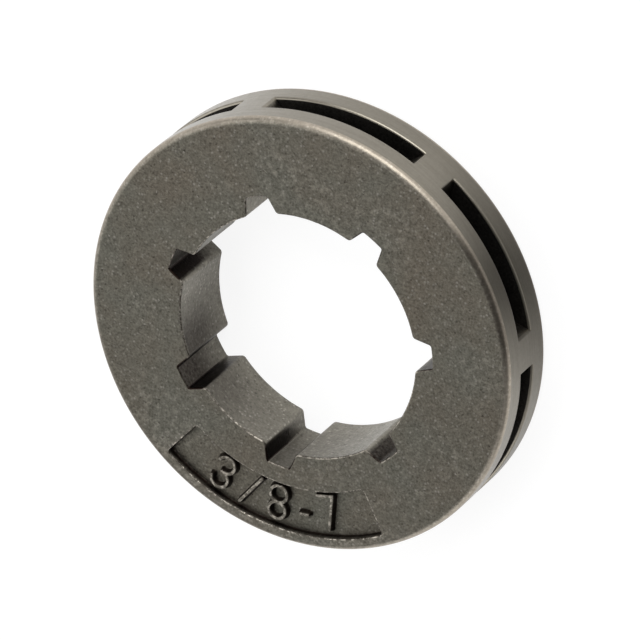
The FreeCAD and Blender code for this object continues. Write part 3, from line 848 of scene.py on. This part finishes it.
# Values of the noise where an effect starts and where it is full.
TINTED, HANDLED, SCRATCHED = (0.35, 0.65), (0.54, 0.66), (0.5, 0.75)
PLACE = {"Place": ("Vector", (0, 0, 0))}
tree, starts, ends = new_group(
    "sintered_grain",
    PLACE | {"Fineness": ("Float", 5.0)},
    dict.fromkeys(("Grain", "Specks", "Pores", "Tint", "Scuffs", "Height"), "Float"),
)
grain_group, place = tree, starts["Place"]
fine = noise(tree, place, starts["Fineness"], detail=2.0, roughness=0.7)
mottle = noise(tree, place, scale=1.6, detail=3.0, roughness=0.6)
tint = spread(tree, noise(tree, place, scale=0.16, detail=3.0), *TINTED)
patches = spread(tree, noise(tree, place, scale=0.13), *HANDLED)
scratches = spread(tree, noise(tree, place, scale=1.6, detail=5.0, roughness=0.75), *SCRATCHED)

cell_scale = times(tree, starts["Fineness"], CELL_FINENESS)
cells = node(tree, "ShaderNodeTexVoronoi", {"Vector": place, "Scale": cell_scale}, feature="F1")
value = node(tree, "ShaderNodeSeparateColor", {0: cells.outputs["Color"]}).outputs[0]
core = spread(tree, cells.outputs["Distance"], CELL_CORE, CELL_EDGE, 1.0, 0.0)
specks = times(tree, spread(tree, value, FIRST_SPECK, 1.0), core)
pores = times(tree, spread(tree, value, LAST_PORE, 0.0), core)
height = maths(tree, "ADD", fine, times(tree, specks, SPECK_HEIGHT))
give(
    tree,
    ends,
    Grain=blend(tree, stark(tree, fine), stark(tree, mottle), MOTTLE_SHARE),
    Specks=specks,
    Pores=pores,
    Tint=tint,
    Scuffs=times(tree, patches, scratches),
    Height=maths(tree, "SUBTRACT", height, pores),
)

# %% [markdown]
# A lathe leaves fine lines round the rim, and a broach leaves ripples across the lands. A wave
# texture could draw them, but is too regular. Both are noise, long in one direction and fine in
# the other.

# %% Group: worked lines
tree, starts, ends = new_group(
    "worked_lines",
    PLACE | {"Stretch": ("Vector", (1, 1, 1))},
    {"Lines": "Float"},
)
lines_group = tree
both = {0: starts["Place"], 1: starts["Stretch"]}
stretched = node(tree, "ShaderNodeVectorMath", both, operation="MULTIPLY").outputs[0]
lines = noise(tree, stretched, scale=1.0, detail=3.0, roughness=0.6)
give(tree, ends, Lines=stark(tree, lines))

# %% [markdown]
# Two marks were written onto the mesh with its corners: wear, which is strong on edges that rub
# and also carries the painted lighter strip beside the size mark, and soot and shade, which is
# strong at the foot of steep walls and is mostly painted shade. Noise breaks both up, and where it
# takes the wear off an edge, the edge is pitted and dark instead.

# %% Group: wear and painted light, soot and painted shade
ALL_GONE, ALL_LEFT = 0.46, 0.6  # noise values, as are the clouds of soot and painted shade
SOOT_CLOUDS, SOOT_SHARES = (0.25, 0.75), (0.85, 1.1)
tree, starts, ends = new_group(
    "wear_and_soot",
    PLACE | {"Broken": ("Float", 0.5), "Pitted": ("Float", 0.5)},
    {"Wear": "Float", "Soot": "Float"},
)
marks_group, place = tree, starts["Place"]
worn = node(tree, "ShaderNodeAttribute", attribute_name="wear").outputs["Fac"]
sooty = node(tree, "ShaderNodeAttribute", attribute_name="soot").outputs["Fac"]
clouds = noise(tree, place, scale=2.6, detail=4.0, roughness=0.75)
gone = spread(tree, clouds, ALL_GONE, ALL_LEFT, 1.0, 0.0)
left = maths(tree, "SUBTRACT", 1.0, times(tree, starts["Broken"], gone))
pits = times(tree, worn, times(tree, starts["Pitted"], gone))
uneven = spread(tree, noise(tree, place, scale=4.0), *SOOT_CLOUDS, *SOOT_SHARES)
soot = maths(tree, "MAXIMUM", times(tree, sooty, uneven), pits)
give(tree, ends, Wear=times(tree, worn, left), Soot=soot)

# %% [markdown]
# Every finish is one material with the same three groups in it. The steel could be one material
# with masks, but with one for each finish, a finish can be changed without touching the others.
# Colours are the metal's own, as they look in plain light.

# %% Helpers for the steel finishes
# The dark of soot and of painted shade, also used for pores.
SOOT = (0.014, 0.009, 0.007, 1)
# Colour of worn steel, also of the painted lighter strip beside the size mark.
WORN = (0.44, 0.405, 0.35, 1)
SPECKS = (0.205, 0.193, 0.171, 1)
PORE_SHARE = 0.6


def steel(name, fineness=5.0, broken=0.75, pitted=0.3):
    """A new steel material, the place in millimetres and the outputs of both groups."""
    material = bpy.data.materials.new(name)
    material.use_nodes = True
    tree = material.node_tree
    place = use_group(tree, place_group)["Place"]
    grain = use_group(tree, grain_group, place=place, fineness=fineness)
    marks = use_group(tree, marks_group, place=place, broken=broken, pitted=pitted)
    return material, tree, place, grain, marks


def coat_marks(tree, body, grain, marks, specks=SPECKS):
    """Adds specks, pores, wear and painted light, soot and painted shade to a body colour."""
    body = mixed(tree, grain["Specks"], body, specks)
    body = mixed(tree, times(tree, grain["Pores"], PORE_SHARE), body, SOOT)
    body = mixed(tree, marks["Wear"], body, WORN)
    return mixed(tree, marks["Soot"], body, SOOT)


def finish(material, body, roughness, height, depth, strength):
    """Wires the colour, the roughness and a bump of that depth in millimetres to the shader."""
    tree = material.node_tree
    shader = tree.nodes["Principled BSDF"]
    wire(tree, shader, "Metallic", 1.0)
    wire(tree, shader, "Base Color", body)
    wire(tree, shader, "Roughness", roughness)
    relief = {"Height": height, "Distance": depth * MM, "Strength": strength}
    wire(tree, shader, "Normal", node(tree, "ShaderNodeBump", relief).outputs[0])
    mesh.materials.append(material)
    print(f"finish {material.name} of {len(tree.nodes)} nodes")


print(f"worn steel {WORN[:3]}, soot {SOOT[:3]}")

# %% [markdown]
# The pressed faces are dark grey-brown and matt. One flat colour would look like plastic, so it
# moves with the grain, with a broad tint and a few scuffs over it, and worn places are both
# brighter and smoother.

# %% Finish of the sintered faces
FACE_DARK, FACE_PALE = (0.054, 0.050, 0.043, 1), (0.15, 0.141, 0.122, 1)
BROWN_TINT, GREEN_TINT = (1.0, 0.95, 0.88, 1), (0.97, 1.0, 0.96, 1)
SCUFF_SHARE = 0.22


def sintered_body(tree, grain, marks):
    """The colour of the pressed faces."""
    body = mixed(tree, grain["Grain"], FACE_DARK, FACE_PALE)
    tint = mixed(tree, grain["Tint"], BROWN_TINT, GREEN_TINT)
    body = mixed(tree, 1.0, body, tint, "MULTIPLY")
    body = mixed(tree, times(tree, grain["Scuffs"], SCUFF_SHARE), body, WORN)
    return coat_marks(tree, body, grain, marks)


material, tree, place, grain, marks = steel("sintered_face", pitted=0.65)
body = sintered_body(tree, grain, marks)
roughness = ranged(tree, marks["Wear"], start=0.52, end=0.34)
finish(material, body, roughness, grain["Height"], depth=0.03, strength=0.75)

# %% [markdown]
# The turned rim is paler and smoother than the faces, because the tool has cut away their grain.
# Its lines run round the axis, so the noise is long in the ring's plane and fine along the width.

# %% Finish of the turned rim
RIM_DARK, RIM_PALE = (0.172, 0.156, 0.127, 1), (0.225, 0.208, 0.175, 1)
LINES_SHARE = 0.5
material, tree, place, grain, marks = steel("turned_rim", fineness=4.0)
lines = use_group(tree, lines_group, place=place, stretch=(0.2, 0.2, 7.0))["Lines"]
uneven = blend(tree, grain["Grain"], lines, LINES_SHARE)
body = mixed(tree, uneven, RIM_DARK, RIM_PALE)
body = mixed(tree, marks["Wear"], body, WORN)
body = mixed(tree, marks["Soot"], body, SOOT)
roughness = ranged(tree, uneven, start=0.38, end=0.26)
finish(material, body, roughness, uneven, depth=0.006, strength=0.5)

# %% [markdown]
# The rounded edge lies between the two. The mark called turned carries it from the pressed finish,
# at the face, to bright cut metal, at the rim, so that no line shows where one material ends.

# %% Finish of the rounded edges
EDGE_DARK, EDGE_PALE = (0.255, 0.225, 0.184, 1), (0.36, 0.32, 0.264, 1)
EDGE_SPECKS, EDGE_SPECK_SHARE = (0.55, 0.51, 0.45, 1), 0.5
material, tree, place, grain, marks = steel("rounded_edge")
turned = node(tree, "ShaderNodeAttribute", attribute_name="turned").outputs["Fac"]
body = mixed(tree, grain["Grain"], EDGE_DARK, EDGE_PALE)
specks = times(tree, grain["Specks"], EDGE_SPECK_SHARE)
body = mixed(tree, specks, body, EDGE_SPECKS)
# Painted shade on one stretch of the rounded edge, read from the soot and shade mark.
body = mixed(tree, marks["Soot"], body, SOOT)
body = mixed(tree, turned, sintered_body(tree, grain, marks), body)
roughness = ranged(tree, turned, start=0.5, end=0.4)
height = times(tree, grain["Height"], ranged(tree, turned, start=1.0, end=0.4))
finish(material, body, roughness, height, depth=0.03, strength=0.5)

# %% [markdown]
# The broach has smoothed the lands and left faint ripples on them. They are the palest metal in
# the bore. Noise breaks up their worn places more than elsewhere, which dots the bright line along
# the lip.

# %% Finish of the broached lands
LANDS_DARK, LANDS_PALE = (0.145, 0.136, 0.113, 1), (0.304, 0.286, 0.242, 1)
LANDS_SPECKS = (0.48, 0.45, 0.40, 1)
RIPPLES_SHARE = 0.25
material, tree, place, grain, marks = steel("broached_land", broken=1.0, pitted=1.2)
lines = use_group(tree, lines_group, place=place, stretch=(1.4, 1.4, 4.0))["Lines"]
uneven = blend(tree, grain["Grain"], lines, RIPPLES_SHARE)
body = mixed(tree, uneven, LANDS_DARK, LANDS_PALE)
body = coat_marks(tree, body, grain, marks, LANDS_SPECKS)
roughness = ranged(tree, uneven, start=0.46, end=0.28)
finish(material, body, roughness, grain["Height"], depth=0.025, strength=0.6)

# %% [markdown]
# Inside the pockets the steel is painted nearly black: painted shade, because little light gets in.
# One rough, dark body does for that. The ends of the pockets catch some of the light, so they have
# the finish of the lands, under painted shade.

# %% Finish inside the pockets
# Painted shade: the inside of the pockets is coloured nearly black.
POCKET_DARK, POCKET_PALE = (0.010, 0.009, 0.008, 1), (0.04, 0.037, 0.033, 1)
POCKET_ROUGHNESS = 0.6
material, tree, place, grain, marks = steel("pocket_inside")
body = mixed(tree, grain["Grain"], POCKET_DARK, POCKET_PALE)
finish(material, body, POCKET_ROUGHNESS, grain["Height"], depth=0.03, strength=0.5)

# %% [markdown]
# The photograph is a studio picture on white. More light would turn the pale floor white, but
# would bleach the ring too. So the floor has a glow of its own, only where the camera sees it, and
# the ring still casts its soft shadow. Metal mirrors a pale floor with one dark place beside the
# rim, which stands for the ring's shadow and makes the dark band down the rim's right side.

# %% Floor
FLOOR_SIZE = 10.0
floor_mesh = bpy.data.meshes.new("floor")
square = np.array([(-1, -1, 0), (1, -1, 0), (1, 1, 0), (-1, 1, 0)]) * FLOOR_SIZE / 2
floor_mesh.from_pydata(square.tolist(), [], [(0, 1, 2, 3)])
floor_piece = placed("floor", floor_mesh)
print(f"floor {FLOOR_SIZE:.0f} m across")

# %% Finish of the floor
FLOOR_GREY = 0.8
SEEN_GREY, SEEN_GLOW = 0.16, 0.88
MIRROR_GLOW = 0.42
SHADOW_GREY = 0.03
SHADOW_PLACE = (18.9 * MM, 10.8 * MM, 0)
SHADOW_CORE, SHADOW_REACH = 2 * MM, 13 * MM
SHADOW_LEAST = 0.2
floor_material = bpy.data.materials.new("pale_floor")
floor_material.use_nodes = True
tree = floor_material.node_tree
tree.nodes.clear()


def lifted(grey, glow):
    """A pale diffuse surface with some light of its own."""
    plain = node(tree, "ShaderNodeBsdfDiffuse", {"Color": (grey, grey, grey, 1)})
    own = node(tree, "ShaderNodeEmission", {"Color": (1, 1, 1, 1), "Strength": glow})
    return node(tree, "ShaderNodeAddShader", {0: plain.outputs[0], 1: own.outputs[0]}).outputs[0]


def either(share, first, second):
    """The first shader where the share is 0, and the second where it is 1."""
    return node(tree, "ShaderNodeMixShader", {0: share, 1: first, 2: second}).outputs[0]


def in_metal(tree, path):
    """1 for a ray that comes from metal or glass, and 0 for any other."""
    return maths(tree, "MAXIMUM", path["Is Glossy Ray"], path["Is Transmission Ray"])


def floor_in_metal():
    """The floor that metal mirrors: pale, with the ring's soft shadow beside the rim."""
    ends = {0: node(tree, "ShaderNodeTexCoord").outputs["Object"], 1: SHADOW_PLACE}
    away = node(tree, "ShaderNodeVectorMath", ends, operation="DISTANCE").outputs["Value"]
    clear = spread(tree, away, SHADOW_CORE, SHADOW_REACH, SHADOW_LEAST, 1.0)
    return either(clear, lifted(SHADOW_GREY, 0.0), lifted(FLOOR_GREY, MIRROR_GLOW))


path = node(tree, "ShaderNodeLightPath").outputs
surface = either(in_metal(tree, path), lifted(FLOOR_GREY, 0.0), floor_in_metal())
surface = either(path["Is Camera Ray"], surface, lifted(SEEN_GREY, SEEN_GLOW))
node(tree, "ShaderNodeOutputMaterial", {"Surface": surface})
floor_mesh.materials.append(floor_material)
print(f"floor finish of {len(tree.nodes)} nodes")

# %% [markdown]
# The sky is the studio's backdrop. The camera sees it white near the horizon, metal sees it fade
# from white to grey above, and to everything else it is a dim, even light.

# %% Sky
BACKDROP_FULL, BACKDROP_END = 0.06, 0.18  # heights on a globe of radius 1 round the ring
BAND_END, BAND_STRENGTH = 0.4, 0.9
SKY_LIGHT = 0.2
world = bpy.data.worlds.new("studio")
bpy.context.scene.world = world
world.use_nodes = True
tree = world.node_tree
tree.nodes.clear()
direction = node(tree, "ShaderNodeTexCoord").outputs["Generated"]
height = node(tree, "ShaderNodeSeparateXYZ", {0: direction}).outputs["Z"]
path = node(tree, "ShaderNodeLightPath").outputs
backdrop = spread(tree, height, BACKDROP_FULL, BACKDROP_END, 1.0, 0.0)
backdrop = times(tree, path["Is Camera Ray"], backdrop)
band = spread(tree, height, 0.0, BAND_END, BAND_STRENGTH, 0.0)
band = times(tree, in_metal(tree, path), band)
strength = maths(tree, "MAXIMUM", maths(tree, "MAXIMUM", backdrop, band), SKY_LIGHT)
sky = node(tree, "ShaderNodeBackground", {"Color": (1, 1, 1, 1), "Strength": strength})
node(tree, "ShaderNodeOutputWorld", {"Surface": sky.outputs[0]})
print(f"sky of {len(tree.nodes)} nodes")

# %% [markdown]
# Three soft lamps light the ring. The broad one stands beyond it, to one side of the direction
# that the flat face mirrors, so the face has a sheen and no glare. A low one opposite the mark
# lights the turned rim and the lands that face it, and one on the mark's own side brings out the
# figures. A lamp is given by the brightness of its face, which is what metal mirrors.


# %% Lamps
def aimed(azimuth, elevation, distance):
    """A place at that angle round the ring and above its plane, and the turn to face the ring."""
    turn, lift = math.radians(azimuth), math.radians(elevation)
    plan = np.exp(1j * turn) * math.cos(lift)
    away = Vector((plan.real, plan.imag, math.sin(lift)))
    return away * distance, away.to_track_quat("Z", "Y")


LAMP_DISTANCE = 0.9


def softbox(name, azimuth, elevation, width, height, brightness):
    """A soft lamp whose face has the given brightness, where 1 is the white of the picture."""
    light = bpy.data.lights.new(name, "AREA")
    light.shape = "RECTANGLE"
    light.size, light.size_y = width, height
    light.energy = brightness * math.pi * width * height
    lamp = placed(name, light)
    lamp.location, turn = aimed(azimuth, elevation, LAMP_DISTANCE)
    lamp.rotation_mode = "QUATERNION"
    lamp.rotation_quaternion = turn
    print(f"lamp {name} of {light.energy:.1f} W")


softbox("above", azimuth=187, elevation=46, width=1.1, height=1.1, brightness=2.15)
softbox("side", azimuth=90, elevation=27, width=0.75, height=0.7, brightness=4.9)
softbox("front", azimuth=285, elevation=27, width=0.7, height=0.55, brightness=2.7)

# %% [markdown]
# The camera stands where the photograph's stood. Its place, turn and lens were fitted to the rim,
# the bore and the corners of the pockets. A long lens keeps the ring almost free of perspective.

# %% Camera
LENS = 393.75
NEAREST, FARTHEST = 0.05, 20
AIM = Vector((0.298, 0.159, 3.1)) * MM
VIEW_AZIMUTH, VIEW_ELEVATION, VIEW_DISTANCE = 55.15, 52.28, 0.5208
VIEW_ROLL = -130.31
camera = placed("camera", bpy.data.cameras.new("camera"))
camera.data.lens = LENS
camera.data.clip_start, camera.data.clip_end = NEAREST, FARTHEST
away, facing_ring = aimed(VIEW_AZIMUTH, VIEW_ELEVATION, VIEW_DISTANCE)
roll = Matrix.Rotation(math.radians(VIEW_ROLL), 4, "Z")
camera.matrix_world = Matrix.Translation(AIM + away) @ (facing_ring.to_matrix().to_4x4() @ roll)
bpy.context.scene.camera = camera
bpy.context.scene.view_settings.view_transform = "Standard"
print(f"camera {VIEW_DISTANCE / MM:.0f} mm from the ring, {VIEW_ELEVATION:.0f} degrees up")
